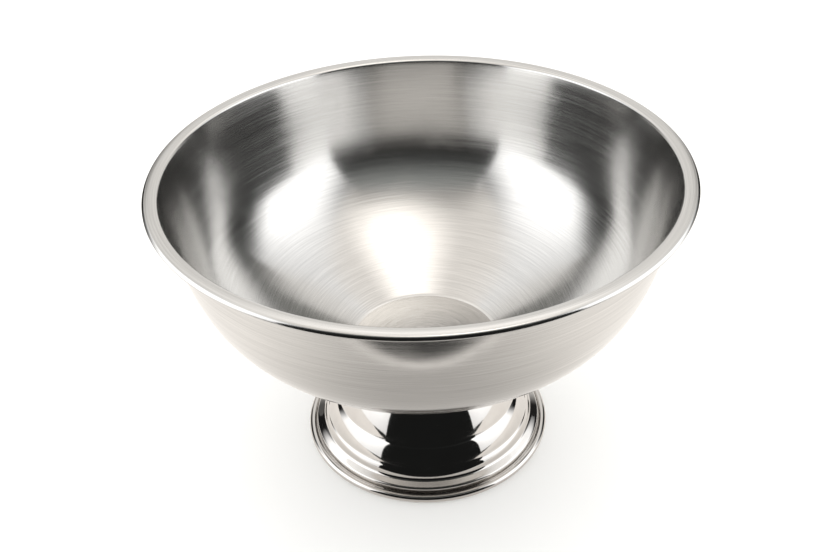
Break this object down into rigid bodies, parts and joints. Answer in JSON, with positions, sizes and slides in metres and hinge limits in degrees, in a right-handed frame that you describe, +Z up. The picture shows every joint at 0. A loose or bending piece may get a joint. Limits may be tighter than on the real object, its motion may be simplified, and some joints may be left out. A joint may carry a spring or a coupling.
{
  "type": "punch bowl",
  "caption": "Footed punch bowl: a wide satin steel bowl with a rolled rim, screwed to a stepped, polished, hollow pedestal foot.",
  "frame": {"origin": "on the surface that the foot stands on, under the middle of the bowl", "axes": "+Z up along the axis that both spun shells are turned about"},
  "size_m": [0.38, 0.38, 0.2375],
  "materials": {
    "satin_steel": "stainless steel, satin brushed round the bowl's axis inside and out",
    "polished_steel": "stainless steel, mirror polished",
    "plain_steel": "bright zinc-plated steel",
    "gasket_rubber": "matt black rubber"
  },
  "bodies": {
    "root": {"bowl_shell": "satin_steel", "foot_shell": "polished_steel", "mounting_stud": "plain_steel", "joint_gasket": "gasket_rubber", "spreader_washer": "plain_steel", "spring_washer": "plain_steel", "hex_nut": "plain_steel"}
  },
  "joints": []
}
